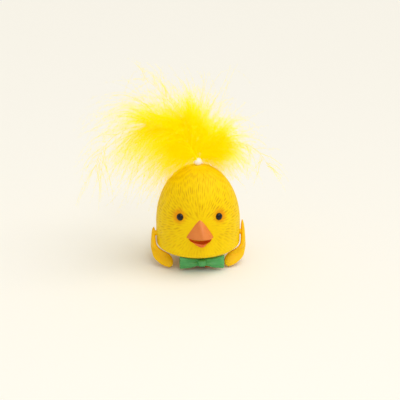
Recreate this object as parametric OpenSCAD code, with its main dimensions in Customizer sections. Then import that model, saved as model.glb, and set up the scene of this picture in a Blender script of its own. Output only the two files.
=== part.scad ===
// Wind-up hopping chick: an egg-shaped moulded chick with a clockwork motor inside,
// rocking feet underneath, a winding key at the back and a marabou crest on top.
// The chick looks along -Y and stands on the plane Z = 0, with the origin under its middle.

/* [Body shell] */
// Radius of the egg-shaped body
body_r = 19; // [17.5:0.5:24]
// Height of the straight sides of the body
side_h = 9.2; // [8:0.1:14]
// Height of the dome above the straight sides
dome_h = 26.6; // [24.5:0.1:32]
// Height of the rounded underside below the straight sides
belly_h = 5; // [4.5:0.1:5.6]
// Gap from the floor to the lowest point of the body
ground_gap = 5.3; // [4.4:0.1:6.4]
// Wall thickness of both half shells
wall = 1.4; // [1:0.1:1.8]

/* [Face] */
// Radius of the bead eyes
eye_r = 1.55; // [1:0.05:2.2]
// Angle of each eye from the middle of the face
eye_turn = 28; // [22:1:36]
// Height of the eyes above the floor
eye_z = 27.2; // [26:0.1:29]
// Width of the beak at the corners of the mouth
beak_w = 12.6; // [9:0.1:15]
// How far the upper beak stands out of the face
beak_out = 5; // [3:0.1:8]
// Height of the mouth corners above the floor
mouth_z = 18.3; // [17:0.1:19]
// Height of the top of the beak above the mouth corners
beak_h = 9; // [7:0.1:9.5]

/* [Bow tie] */
// Width of the bow across both loops
bow_w = 20; // [14:0.5:26]
// Height of the loops at their outer ends
bow_h = 5.6; // [4:0.1:5.8]
// Thickness of the loops, front to back
bow_t = 3.4; // [2.5:0.1:4]
// How far to one side of the middle the bow is glued
bow_shift = 1.2; // [0:0.1:2]

/* [Wings] */
// Thickness of the wings at their thick end
wing_t = 2.7; // [2.2:0.1:3]
// Height of the shoulder peg above the floor
wing_peg_z = 14.5; // [14:0.1:16]
// How far the wings are turned back on their pegs
wing_turn = 0; // [0:1:4]

/* [Motor] */
// Module of the gear teeth
gear_m = 0.5; // [0.4:0.01:0.52]
// Teeth on the great wheel
great_teeth = 36; // [30:2:36]
// Teeth on the second wheel
second_teeth = 28; // [24:1:28]
// Teeth on the wheel of the cam arbor
cam_teeth = 24; // [20:1:24]
// Teeth on each of the three pinions
pinion_teeth = 10; // [9:1:11]
// Distance between the two motor plates
plate_gap = 9.6; // [9:0.1:11]
// Thickness of a motor plate
plate_t = 1.1; // [0.8:0.1:1.5]
// Height of the winding arbor above the floor
arbor_z = 27.5; // [27.2:0.1:28.5]
// Height of the cam arbor above the floor
cam_z = 15.5; // [15.2:0.1:16]
// Radius of the winding arbor
arbor_r = 1.25; // [1:0.05:1.5]
// Radius of the small arbors
pivot_r = 0.8; // [0.6:0.05:1]
// Thickness of the mainspring strip
spring_t = 0.25; // [0.15:0.01:0.3]
// Turns of the mainspring when it is run down
spring_turns = 6; // [4:1:8]

/* [Hopping feet] */
// Width of the foot plate across both feet
foot_w = 15.6; // [14:0.1:16.5]
// Length of the foot plate from toes to heel
foot_l = 18; // [16:0.1:19]
// Thickness of the sole
sole_t = 2; // [1.5:0.1:2.4]
// Angle through which the cam rocks the feet
foot_rock = 12; // [6:1:13]
// Angle of cam rotation over which the feet rock down
cam_rise = 300; // [240:5:305]
// Radius of the follower nose on the foot plate
nose_r = 1.2; // [0.8:0.05:1.4]

/* [Winding key] */
// Radius of the round part of the key
key_r = 4.6; // [3.5:0.1:6]
// Thickness of the round part of the key
key_t = 2.2; // [1.5:0.1:3]
// Width of the grip across the key
grip_w = 8.4; // [6:0.1:10]

/* [Crest] */
// Radius of the white plug that holds the feathers
plug_r = 1.65; // [1.6:0.05:2]
// Radius of a feather quill at its root
quill_r = 0.45; // [0.35:0.05:0.5]
// Thickness of a feather vane at the quill
vane_t = 0.8; // [0.6:0.1:1]

/* [Fits] */
// Radial clearance of a turning arbor in its bearing
run_fit = 0.05; // [0.02:0.01:0.09]
// Clearance of glued pegs and screws in their holes
peg_fit = 0.05; // [0.02:0.01:0.1]
// Gap between pieces that move past each other
pass_gap = 0.35; // [0.25:0.05:0.5]
// Gap between the cam and the nose that follows it
cam_gap = 0.08; // [0.05:0.01:0.12]
// Backlash between meshing teeth, measured along the pitch circle
backlash = 0.12; // [0.08:0.01:0.16]

/* [Hidden] */
$fn = 48;
tiny = 0.01;

// Heights along the body
low_z = ground_gap + belly_h;
high_z = low_z + side_h;
top_z = high_z + dome_h;
dome_steps = 14;
belly_steps = 8;

// Radius of the body at height z, with the surface moved in by inset
function body_radius(z, inset = 0) =
    z > high_z ? (body_r - inset) * sqrt(max(0, 1 - pow((z - high_z) / (dome_h - inset), 2)))
    : z < low_z ? (body_r - inset) * sqrt(max(0, 1 - pow((low_z - z) / (belly_h - inset), 2)))
    : body_r - inset;
// Distance from the middle plane to the body's surface at x and z
function body_depth(x, z, inset = 0) = sqrt(max(0, pow(body_radius(z, inset), 2) - x * x));
// Height of the underside of the body at distance r from its axis
function belly_z(r, inset = 0) =
    low_z - (belly_h - inset) * sqrt(max(0, 1 - pow(r / (body_r - inset), 2)));
function body_outline(inset) = concat(
    [for (i = [0:dome_steps]) let (a = 90 - 90 * i / dome_steps)
        [(body_r - inset) * cos(a), high_z + (dome_h - inset) * sin(a)]],
    [for (i = [0:belly_steps]) let (a = 90 * i / belly_steps)
        [(body_r - inset) * cos(a), low_z - (belly_h - inset) * sin(a)]]);
function backwards(list) = [for (i = [len(list) - 1:-1:0]) list[i]];

// A flat shape drawn in X and Z, made into a plate from y0 to y0 + h
module plate_y(y0, h) translate([0, y0 + h, 0]) rotate([90, 0, 0]) linear_extrude(h) children();
// A round bar along Y, X or Z
module rod_y(r, x, z, y0, y1) translate([x, y1, z]) rotate([90, 0, 0]) cylinder(r = r, h = y1 - y0);
module rod_x(r, y, z, x0, x1) translate([x0, y, z]) rotate([0, 90, 0]) cylinder(r = r, h = x1 - x0);
module ball(p, r) translate(p) sphere(r = r, $fn = 24);

// ---- Motor layout, in X and Z ----
function pitch_r(teeth) = gear_m * teeth / 2;
addendum = 0.75;
dedendum = 1;
pressure = 25;
pinion_pr = pitch_r(pinion_teeth);
function tip_r(teeth) = pitch_r(teeth) + addendum * gear_m;
great_to_second = pitch_r(great_teeth) + pinion_pr;
second_to_cam = pitch_r(second_teeth) + pinion_pr;
cam_to_governor = pitch_r(cam_teeth) + pinion_pr;
great_at = [0, arbor_z];
cam_at = [0, cam_z];
train_d = arbor_z - cam_z;
second_drop = (train_d * train_d + pow(great_to_second, 2) - pow(second_to_cam, 2)) / (2 * train_d);
second_at = [sqrt(pow(great_to_second, 2) - pow(second_drop, 2)), arbor_z - second_drop];
governor_lift = 15;
governor_at = cam_at + cam_to_governor * [-cos(governor_lift), sin(governor_lift)];
flywheel_r = 4;

// Layers of the motor along Y, from the front plate to the rear plate
front_in = -plate_gap / 2;
rear_in = plate_gap / 2;
front_out = front_in - plate_t;
rear_out = rear_in + plate_t;
spring_y = front_in + 0.3;
spring_w = 3;
great_y = spring_y + spring_w + 0.5;
great_w = 1.2;
second_y = great_y + great_w + 0.8;
second_w = 1.1;
cam_wheel_y = second_y + second_w + 1;
cam_wheel_w = 1.2;
pinion_over = 0.25;

// Posts that join the two plates, ears that hold the motor, and bosses that join the shells
pillar_r = 1.2;
corner_r = 1.9;
pillar_z = second_at[1] - tip_r(second_teeth) - pillar_r - pass_gap;
boss_r = 2.5;
boss_x = 13.6;
// The two low bosses stay clear of the second wheel
boss_z = min(low_z + 1.1, second_at[1]
    - sqrt(pow(tip_r(second_teeth) + boss_r + pass_gap, 2) - pow(boss_x - second_at[0], 2)));
pillars = [[-9.3, arbor_z + 6.7], [9.3, arbor_z + 6.7], [-8.6, pillar_z], [8.6, pillar_z]];
motor_ears = [[-12, arbor_z], [12, arbor_z]];
shell_bosses = [[-boss_x, boss_z], [boss_x, boss_z], [0, top_z - 6]];

// ---- Hopping feet layout ----
hinge_y = rear_in + 1.8;
hinge_z = ground_gap + 0.7;
hinge_pin_r = 0.75;
hinge_block_x = 3;
ear_t = 1.6;
ear_r = 1.6;
cam_w = 2;
nose_y = front_out - pass_gap - nose_r;
cam_y0 = nose_y - 1.35;
nose_z = cam_z - 4.1;
// Height of the nose when the feet have rocked down by a
function nose_height(a) = hinge_z + (nose_y - hinge_y) * sin(a) + (nose_z - hinge_z) * cos(a);
// Radius of the cam at angle a behind its lowest point
function cam_profile(a) =
    let (start = cam_z - nose_z - nose_r - cam_gap,
         full = cam_z - nose_height(foot_rock) - nose_r - cam_gap,
         hold = cam_rise + 5,
         back = 335)
    a <= cam_rise ? cam_z - nose_height(foot_rock * a / cam_rise) - nose_r - cam_gap
    : a <= hold ? full
    : a <= back ? full + (start - full) * (a - hold) / (back - hold)
    : start;

// ---- Gears ----
function involute(a) = tan(a) * 180 / PI - a;
// Half the angle that a tooth covers at radius r
function half_tooth(teeth, r) =
    let (base = pitch_r(teeth) * cos(pressure))
    90 / teeth - backlash / 4 / pitch_r(teeth) * 180 / PI
    + involute(pressure) - involute(acos(min(1, base / r)));
flank_steps = 3;
function gear_points(teeth, turn) =
    let (root = pitch_r(teeth) - dedendum * gear_m,
         base = pitch_r(teeth) * cos(pressure),
         start = max(root, base),
         tip = tip_r(teeth),
         foot = start > root + tiny ? [root] : [],
         radii = concat(foot, [for (i = [0:flank_steps]) start + (tip - start) * i / flank_steps]))
    [for (k = [0:teeth - 1], side = [-1, 1], r = side < 0 ? radii : backwards(radii))
        let (a = turn + 360 * k / teeth + side * half_tooth(teeth, max(r, start)))
        [r * cos(a), r * sin(a)]];
// Turn of a gear that meshes with another one whose turn is known
function mesh_turn(driver_teeth, driver_turn, teeth, direction) =
    direction + 180 - 180 / teeth - driver_teeth / teeth * (driver_turn - direction);
function bearing(from, to) = atan2(to[1] - from[1], to[0] - from[0]);
great_turn = 0;
second_pinion_turn = mesh_turn(great_teeth, great_turn, pinion_teeth, bearing(great_at, second_at));
second_turn = 0;
cam_pinion_turn = mesh_turn(second_teeth, second_turn, pinion_teeth, bearing(second_at, cam_at));
cam_turn = 0;
governor_turn = mesh_turn(cam_teeth, cam_turn, pinion_teeth, bearing(cam_at, governor_at));

module gear(teeth, turn, at, y0, w)
    plate_y(y0, w) translate(at) polygon(gear_points(teeth, turn));

// ---- Body shell ----
module body_solid(inset) rotate_extrude() polygon(body_outline(inset));
module shell_half(turn)
    rotate([0, 0, turn]) rotate_extrude(angle = 180)
        polygon(concat(body_outline(0), backwards(body_outline(wall))));
screw_r = 0.95;
screw_head_r = 1.7;
belly_cut = [8.6, 9.6];
module belly_opening()
    translate([-belly_cut[0], -belly_cut[1], 0]) cube([2 * belly_cut[0], 2 * belly_cut[1], low_z]);
module plug_bore() translate([0, 0, top_z - 3]) cylinder(r = plug_stem_r + peg_fit, h = 4);

module front_shell() color("gold") difference() {
    union() {
        shell_half(180);
        intersection() {
            body_solid(wall / 2);
            for (b = shell_bosses) rod_y(boss_r, b[0], b[1], -body_r, 0);
        }
    }
    belly_opening();
    plug_bore();
    for (b = shell_bosses) rod_y(screw_r + peg_fit, b[0], b[1], -screw_grip, 1);
    for (s = [-1, 1]) eye_place(s) {
        sphere(r = eye_r + peg_fit);
        rotate([-90, 0, 0]) cylinder(r = eye_stem_r + peg_fit, h = eye_stem + 1);
    }
    rod_y(beak_peg_r + peg_fit, 0, upper_peg_z, -body_r - 1, -body_r + wall + 2);
    rod_y(chin_peg_r + peg_fit, 0, lower_peg_z, -body_r - 1, -body_r + wall + 2);
    translate([bow_shift, bow_y, 0]) cylinder(r = bow_peg_r + peg_fit, h = low_z);
    for (s = [-1, 1]) rod_x(wing_peg_r + peg_fit, wing_peg_y, wing_peg_z, s * body_r - 4, s * body_r + 4);
}

module rear_shell() color("gold") difference() {
    union() {
        shell_half(0);
        intersection() {
            body_solid(wall / 2);
            union() {
                for (b = shell_bosses) rod_y(boss_r, b[0], b[1], 0, body_r);
                for (e = motor_ears) rod_y(boss_r, e[0], e[1], rear_out, body_r);
            }
        }
    }
    belly_opening();
    plug_bore();
    for (b = shell_bosses) {
        rod_y(screw_r + peg_fit, b[0], b[1], -1, body_r);
        rod_y(screw_head_r + 0.2, b[0], b[1], screw_seat, body_r + 1);
    }
    for (e = motor_ears) rod_y(screw_r + peg_fit, e[0], e[1], rear_out - 1, rear_out + motor_grip);
    rod_y(key_hole_r, 0, arbor_z, rear_out, body_r + 1);
}

// ---- Fasteners ----
screw_grip = 6.5;
screw_seat = 4.5;
motor_grip = 4;
key_hole_r = arbor_r + 0.9;
module screw(at, seat, tip, head_r, shank_r, head_t, side) difference() {
    union() {
        rod_y(shank_r, at[0], at[1], min(seat, tip), max(seat, tip));
        rod_y(head_r, at[0], at[1], min(seat, seat + side * head_t), max(seat, seat + side * head_t));
    }
    for (a = [0, 90])
        translate([at[0], seat + side * head_t, at[1]]) rotate([0, a, 0])
            cube([head_r * 1.3, head_t, 0.35], center = true);
}
module shell_screws() color("silver")
    for (b = shell_bosses) screw(b, screw_seat, -screw_grip + 0.4, screw_head_r, screw_r, 1.1, 1);
module motor_screws() color("silver")
    for (e = motor_ears)
        screw(e, rear_in, rear_out + motor_grip - 0.4, screw_head_r, screw_r, 0.9, -1);
plate_screw_r = 0.6;
plate_screw_l = 4;
module plate_screws() color("silver")
    for (p = pillars) screw(p, rear_out, rear_out - plate_screw_l, 1.15, plate_screw_r, 0.7, 1);

// ---- Face ----
eye_stem_r = 0.6;
eye_stem = 3.4;
eye_sunk = 0.35;
// Puts its children at an eye's centre, looking outwards along -Y
module eye_place(s)
    rotate([0, 0, s * eye_turn]) translate([0, -body_radius(eye_z) + eye_sunk, eye_z]) children();
module eye(s) color("black") eye_place(s) {
    sphere(r = eye_r);
    rotate([-90, 0, 0]) cylinder(r = eye_stem_r, h = eye_stem);
}
module left_eye() eye(-1);
module right_eye() eye(1);

beak_peg_r = 1.4;
chin_peg_r = 0.9;
upper_peg_z = mouth_z + beak_h * 0.3;
lower_peg_z = mouth_z - 2.1;
face_gap = 0.02;
beak_round = 0.45;
jaw_drop = 3;
jaw_w = beak_w * 0.86;
function on_face(x, z, out = 0) = [x, -body_depth(x, z) - out, z];
module upper_beak() color("darkorange") union() {
    difference() {
        hull() {
            ball(on_face(0, mouth_z + beak_h - beak_round, -0.6), beak_round);
            for (s = [-1, 1]) ball(on_face(s * (beak_w / 2 - beak_round), mouth_z + 0.1, -0.5), beak_round);
            for (s = [-1, 1]) ball(on_face(s * beak_w * 0.28, mouth_z + 3.6, 0.5), beak_round);
            ball(on_face(0, mouth_z + 4.6, beak_out * 0.42), beak_round);
            ball(on_face(0, mouth_z + 0.4, beak_out - beak_round), beak_round);
        }
        body_solid(-face_gap);
    }
    rod_y(beak_peg_r, 0, upper_peg_z, -body_r - 0.6, -body_r + wall + 1);
}
module lower_beak() color("orangered") union() {
    difference() {
        hull() {
            for (s = [-1, 1]) ball(on_face(s * (jaw_w / 2 - beak_round), mouth_z - 1.1, -0.5), beak_round);
            ball(on_face(0, mouth_z - jaw_drop, beak_out * 0.62), beak_round);
            ball(on_face(0, mouth_z - 2.6, beak_out * 0.68), beak_round);
            ball(on_face(0, mouth_z - jaw_drop - 0.6, -0.4), beak_round);
        }
        body_solid(-face_gap);
    }
    rod_y(chin_peg_r, 0, lower_peg_z, -body_r - 0.6, -body_r + wall + 1);
}

// ---- Bow tie ----
bow_y = -0.66 * body_r;
bow_bottom = 1.1;
bow_z = bow_bottom + bow_h / 2;
bow_peg_r = 1.1;
knot_w = 4.4;
knot_top = belly_z(-bow_y - bow_t / 2) - 0.15;
knot_bottom = bow_bottom + 0.9;
module bow_tie() color("mediumseagreen") translate([bow_shift, bow_y, 0]) {
    for (s = [-1, 1]) hull() {
        for (v = [-1, 1]) ball([s * (bow_w / 2 - 1.1), 0, bow_z + v * (bow_h / 2 - 1.1)], 1.1);
        ball([s * 0.6, 0, (knot_top + knot_bottom) / 2], 0.9);
        ball([s * bow_w * 0.36, 0, bow_z], bow_t / 2);
    }
    translate([-knot_w / 2, -bow_t / 2 - 0.2, knot_bottom])
        cube([knot_w, bow_t + 0.2, knot_top - knot_bottom]);
    translate([0, 0, bow_z]) cylinder(r = bow_peg_r, h = belly_z(-bow_y) + wall + 0.6 - bow_z);
}

// ---- Wings ----
wing_peg_y = -2;
wing_peg_r = 1.2;
wing_in = 2.6;
wing_gap = 0.25;
wing_face = body_r + wing_gap;
// Centre and radius of the balls that round off a wing: shoulder tip, shoulder, flank, elbow, toes, hollow.
// X is measured from the wing's inner face, Y from the middle of the body and Z from the floor.
wing_balls = [
    [[0.65, -0.4, wing_peg_z + 4.6], 0.6], [[0.95, -2, wing_peg_z], 0.9],
    [[1.25, -3.5, wing_peg_z - 4.7], 1.2],
    [[0.3, -6, wing_peg_z - 9], wing_t / 2], [[-3.5, -8.5, wing_peg_z - 11.9], wing_t / 2],
    [[-5.8, -9.3, wing_peg_z - 12.1], wing_t / 2 - 0.05],
    [[-5.6, -8.8, wing_peg_z - 10.1], wing_t / 2 - 0.4]];
module wing(s) color("gold")
    translate([0, wing_peg_y, wing_peg_z]) rotate([wing_turn, 0, 0])
    translate([0, -wing_peg_y, -wing_peg_z]) {
        for (link = [[0, 1, 2], [1, 2, 3], [3, 4, 5, 6]]) hull() for (i = link) {
            p = wing_balls[i][0];
            ball([s * (wing_face + p[0]), p[1], p[2]], wing_balls[i][1]);
        }
        rod_x(wing_peg_r, wing_peg_y, wing_peg_z,
            s > 0 ? body_r - wing_in : -wing_face - 0.9, s > 0 ? wing_face + 0.9 : wing_in - body_r);
    }
module left_wing() wing(-1);
module right_wing() wing(1);

// ---- Crest ----
plug_stem_r = 1;
plug_z = top_z + sqrt(plug_r * plug_r - plug_stem_r * plug_stem_r);
feather_y = max(vane_t, quill_r * 2) + 0.1;
// Each feather: place across the plug, start, heading, bend (1 to the left), radius, length and
// half width of its vane
left_feather = [-1, [-0.4, 0], 105, 1, 23, 64, 8];
top_feather = [0, [0, 0.3], 100, 1, 60, 46, 8];
right_feather = [1, [0.4, 0], 60, -1, 17, 40, 6];
function feather_heading(f, d) = f[2] + f[3] * d / f[4] * 180 / PI;
function feather_middle(f) =
    [f[1][0], plug_z + f[1][1]] + f[4] * [cos(f[2] + f[3] * 90), sin(f[2] + f[3] * 90)];
// Point at distance d along a feather and w beside its quill
function feather_point(f, d, w) =
    let (out = feather_heading(f, d) - f[3] * 90)
    feather_middle(f) + (f[4] + f[3] * w) * [cos(out), sin(out)];
vane_start = 5;
vane_steps = 12;
function vane_edge(f, side) = [for (i = [0:vane_steps])
    let (u = i / vane_steps, w = f[6] * pow(sin(180 * pow(u, 0.8)), 0.7))
    feather_point(f, vane_start + u * (f[5] - vane_start), side * w)];
module quill(f) {
    turn = f[5] / f[4] * 180 / PI;
    middle = feather_middle(f);
    first = f[2] - f[3] * 90;
    translate([middle[0], f[0] * feather_y, middle[1]]) rotate([90, 0, 0])
        rotate([0, 0, f[3] > 0 ? first : first - turn])
            rotate_extrude(angle = turn) translate([f[4], 0]) circle(r = quill_r);
}
module plume(f) difference() {
    plate_y(f[0] * feather_y - vane_t / 2, vane_t)
        polygon(concat(vane_edge(f, -1), backwards(vane_edge(f, 1))));
    quill(f);
}
module crest_plug() color("white") difference() {
    union() {
        translate([0, 0, plug_z]) sphere(r = plug_r);
        translate([0, 0, top_z - 2.6]) cylinder(r = plug_stem_r, h = plug_z - top_z + 2.6);
    }
    quill(left_feather);
    quill(top_feather);
    quill(right_feather);
}
module left_quill() color("khaki") quill(left_feather);
module top_quill() color("khaki") quill(top_feather);
module right_quill() color("khaki") quill(right_feather);
module left_plume() color("yellow") plume(left_feather);
module top_plume() color("yellow") plume(top_feather);
module right_plume() color("yellow") plume(right_feather);

// ---- Motor plates ----
plate_outline = [
    [-pillars[1][0] - corner_r, pillars[1][1]], [-pillars[1][0], pillars[1][1] + corner_r],
    [pillars[1][0], pillars[1][1] + corner_r], [pillars[1][0] + corner_r, pillars[1][1]],
    [motor_ears[1][0] + corner_r, arbor_z + corner_r], [motor_ears[1][0] + corner_r, arbor_z - corner_r],
    [pillars[3][0] + corner_r, cam_z + 3.4], [pillars[3][0] + corner_r, pillars[3][1] - corner_r],
    [-pillars[3][0] - corner_r, pillars[3][1] - corner_r], [-pillars[3][0] - corner_r, cam_z + 3.4],
    [motor_ears[0][0] - corner_r, arbor_z - corner_r], [motor_ears[0][0] - corner_r, arbor_z + corner_r]];
module bearing_holes(y0, y1) {
    rod_y(arbor_r + run_fit, great_at[0], great_at[1], y0, y1);
    for (a = [second_at, cam_at, governor_at]) rod_y(pivot_r + run_fit, a[0], a[1], y0, y1);
}
module front_motor_plate() color("steelblue") difference() {
    union() {
        plate_y(front_out, plate_t) polygon(plate_outline);
        for (p = pillars) rod_y(pillar_r, p[0], p[1], front_in - tiny, rear_in);
    }
    bearing_holes(front_out - 1, front_in + 1);
    for (p = pillars) rod_y(plate_screw_r + peg_fit, p[0], p[1], rear_out - plate_screw_l - 0.3, rear_in + 1);
    for (e = motor_ears) rod_y(screw_head_r + 0.3, e[0], e[1], front_out - 1, front_in + 1);
}
module rear_motor_plate() color("steelblue") difference() {
    union() {
        plate_y(rear_in, plate_t) polygon(plate_outline);
        translate([-hinge_block_x, rear_in, hinge_z - ear_r])
            cube([2 * hinge_block_x, hinge_y - rear_in + ear_r, cam_z - 3 - hinge_z]);
    }
    bearing_holes(rear_in - 1, rear_out + 1);
    for (p = pillars) rod_y(plate_screw_r + peg_fit, p[0], p[1], rear_in - 1, rear_out + 1);
    for (e = motor_ears) rod_y(screw_r + peg_fit, e[0], e[1], rear_in - 1, rear_out + 1);
    rod_x(hinge_pin_r, hinge_y, hinge_z, -hinge_block_x - 1, hinge_block_x + 1);
}

// ---- Spring and winding parts ----
spring_out = 8.1;
spring_facets = 22;
spring_last = spring_facets * spring_turns;
spring_post = pillars[1] - great_at;
spring_end = atan2(spring_post[1], spring_post[0]);
tail_turn = 1.8;
tail_out = norm(spring_post) - pillar_r - 0.02;
function around(r, a) = r * [cos(a), sin(a)];
function spring_point(i, side) = around(
    arbor_r + spring_t / 2 + (spring_out - arbor_r) * i / spring_last + side * spring_t / 2,
    spring_end - 360 * i / spring_facets);
module mainspring() color("slategray") difference() {
    plate_y(spring_y, spring_w) translate(great_at) polygon(concat(
        [for (i = [0:spring_last]) spring_point(i, -1)],
        [around(tail_out, spring_end), around(tail_out, spring_end + tail_turn),
            around(spring_out + spring_t, spring_end + tail_turn)],
        backwards([for (i = [0:spring_last - 1]) spring_point(i, 1)])));
    rod_y(arbor_r, great_at[0], great_at[1], spring_y - 1, spring_y + spring_w + 1);
}
key_y = body_depth(0, arbor_z - key_r) + 0.5;
key_hub_l = 2.4;
grip_l = 6;
grip_t = 1.8;
module winding_arbor() color("silver")
    rod_y(arbor_r, great_at[0], great_at[1], front_out, key_y + key_hub_l + grip_l - 1.5);
module winding_key() color("gold") difference() {
    union() {
        rod_y(key_r, great_at[0], great_at[1], key_y, key_y + key_t);
        rod_y(arbor_r + 1.4, great_at[0], great_at[1], key_y, key_y + key_hub_l + grip_l - 2.5);
        translate([0, 0, arbor_z - grip_t / 2]) linear_extrude(grip_t)
            for (s = [-1, 1]) translate([s * (grip_w - 4.4) / 2, key_y + key_hub_l + grip_l - 2.2])
                circle(r = 2.2);
        translate([-grip_w / 2 + 1.2, key_y, arbor_z - grip_t / 2])
            cube([grip_w - 2.4, key_hub_l + grip_l - 2.4, grip_t]);
    }
    rod_y(arbor_r, great_at[0], great_at[1], key_y - 1, key_y + key_hub_l + grip_l - 1.5);
}
click_r = 5.2;
click_t = 0.3;
click_y = great_y + great_w + 0.3;
click_pin_r = 0.5;
click_hole_r = 0.9;
module click_spring() color("silver") difference() {
    union() {
        rod_y(arbor_r + 1.1, great_at[0], great_at[1], click_y, click_y + click_t);
        for (a = [30:120:270]) translate([0, 0, arbor_z]) rotate([0, a, 0]) {
            translate([0, click_y, -0.6]) cube([click_r, click_t, 1.2]);
            rod_y(click_pin_r, click_r - 0.6, 0, great_y + great_w - 0.4, click_y + click_t / 2);
        }
    }
    rod_y(arbor_r, great_at[0], great_at[1], click_y - 1, click_y + click_t + 1);
}

// ---- Wheels and arbors ----
module great_wheel() color("goldenrod") difference() {
    gear(great_teeth, great_turn, great_at, great_y, great_w);
    rod_y(arbor_r + run_fit, great_at[0], great_at[1], great_y - 1, great_y + great_w + 1);
    for (a = [30:120:270]) translate([0, 0, arbor_z]) rotate([0, a, 0])
        rod_y(click_hole_r, click_r - 0.6, 0, great_y - 1, great_y + great_w + 1);
}
// A wheel with its pinion moulded on, in front of it
module wheel_and_pinion(teeth, turn, pinion_turn, at, y0, w, pinion_y) difference() {
    union() {
        gear(teeth, turn, at, y0, w);
        gear(pinion_teeth, pinion_turn, at, pinion_y, y0 + tiny - pinion_y);
    }
    rod_y(pivot_r, at[0], at[1], pinion_y - 1, y0 + w + 1);
}
module second_wheel() color("ivory")
    wheel_and_pinion(second_teeth, second_turn, second_pinion_turn, second_at, second_y, second_w,
        great_y - pinion_over);
module cam_wheel() color("ivory")
    wheel_and_pinion(cam_teeth, cam_turn, cam_pinion_turn, cam_at, cam_wheel_y, cam_wheel_w,
        second_y - pinion_over);
module second_arbor() color("silver") rod_y(pivot_r, second_at[0], second_at[1], front_out, rear_out);
module cam_arbor() color("silver") rod_y(pivot_r, cam_at[0], cam_at[1], cam_y0 - 0.3, rear_out);
cam_facets = 72;
module hop_cam() color("ivory") difference() {
    plate_y(cam_y0, cam_w) translate(cam_at) polygon([for (i = [0:cam_facets - 1])
        let (a = 360 * i / cam_facets) cam_profile(a) * [cos(a - 90), sin(a - 90)]]);
    rod_y(pivot_r, cam_at[0], cam_at[1], cam_y0 - 1, cam_y0 + cam_w + 1);
}
governor_pinion_y = cam_wheel_y - pinion_over;
governor_pinion_w = cam_wheel_w + 2 * pinion_over - 0.05;
module governor_pinion() color("ivory") difference() {
    gear(pinion_teeth, governor_turn, governor_at, governor_pinion_y, governor_pinion_w);
    rod_y(pivot_r, governor_at[0], governor_at[1], governor_pinion_y - 1, rear_in + 1);
}
module governor_arbor() color("silver") rod_y(pivot_r, governor_at[0], governor_at[1], front_out, rear_out);
flywheel_w = 2.6;
module governor_flywheel() color("goldenrod") difference() {
    union() {
        rod_y(flywheel_r, governor_at[0], governor_at[1], spring_y, spring_y + flywheel_w);
        rod_y(pivot_r + 0.7, governor_at[0], governor_at[1], spring_y, spring_y + flywheel_w + 0.8);
    }
    rod_y(flywheel_r - 1, governor_at[0], governor_at[1], spring_y + 1, spring_y + flywheel_w - 1);
    rod_y(pivot_r, governor_at[0], governor_at[1], spring_y - 1, spring_y + flywheel_w + 2);
}

// ---- Hopping feet ----
toe_r = 1.5;
toe_gap = 0.3;
foot_x = (foot_w + toe_gap) / 4;
heel_r = 1.6;
function toe_tip(s, k) =
    [s * foot_x + k * (foot_x - toe_r - toe_gap / 2), -foot_l / 2 + toe_r + abs(k) * 1.2];
module foot_outline(s) {
    web = toe_tip(s, 0)[1] + 0.6;
    waist = heel_r - 0.1;
    polygon([
        toe_tip(s, -1) - [toe_r - 0.2, 0], toe_tip(s, -1) - [0, toe_r - 0.4], [s * foot_x - foot_x / 3, web],
        toe_tip(s, 0) - [0, toe_r - 0.4], [s * foot_x + foot_x / 3, web], toe_tip(s, 1) - [0, toe_r - 0.4],
        toe_tip(s, 1) + [toe_r - 0.2, 0], [s * foot_x + waist, 1.5],
        [s * foot_x + waist, foot_l / 2 - heel_r],
        [s * foot_x - waist, foot_l / 2 - heel_r], [s * foot_x - waist, 1.5]]);
    for (k = [-1, 0, 1]) translate(toe_tip(s, k)) circle(r = toe_r);
    translate([s * foot_x, foot_l / 2 - heel_r]) circle(r = heel_r);
}
module foot_plate() color("darkorange") difference() {
    union() {
        linear_extrude(sole_t) {
            foot_outline(-1);
            foot_outline(1);
            translate([-foot_x, -foot_l / 2 + 3.4]) square([2 * foot_x, foot_l - 5.6]);
        }
        for (s = [-1, 1]) {
            x0 = s > 0 ? hinge_block_x + pass_gap : -hinge_block_x - pass_gap - ear_t;
            translate([x0, hinge_y - ear_r + 0.15, sole_t / 2])
                cube([ear_t, 2 * ear_r - 0.3, hinge_z - sole_t / 2]);
            rod_x(ear_r, hinge_y, hinge_z, x0, x0 + ear_t);
        }
        translate([-nose_r * 0.8, nose_y - nose_r * 0.8, sole_t / 2])
            cube([nose_r * 1.6, nose_r * 1.6, nose_z - sole_t / 2 - nose_r * 0.3]);
        translate([0, nose_y, nose_z]) sphere(r = nose_r);
    }
    rod_x(hinge_pin_r + run_fit, hinge_y, hinge_z, -body_r, body_r);
}
module foot_hinge_pin() color("silver")
    rod_x(hinge_pin_r, hinge_y, hinge_z, -hinge_block_x - pass_gap - ear_t, hinge_block_x + pass_gap + ear_t);

front_shell();
rear_shell();
shell_screws();
left_eye();
right_eye();
upper_beak();
lower_beak();
bow_tie();
left_wing();
right_wing();
crest_plug();
left_quill();
top_quill();
right_quill();
left_plume();
top_plume();
right_plume();
front_motor_plate();
rear_motor_plate();
plate_screws();
motor_screws();
mainspring();
winding_arbor();
click_spring();
winding_key();
great_wheel();
second_wheel();
second_arbor();
cam_wheel();
cam_arbor();
hop_cam();
governor_pinion();
governor_arbor();
governor_flywheel();
foot_plate();
foot_hinge_pin();
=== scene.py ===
import math

import bmesh
import bpy
import numpy as np
from mathutils import Matrix, Vector, noise


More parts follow.
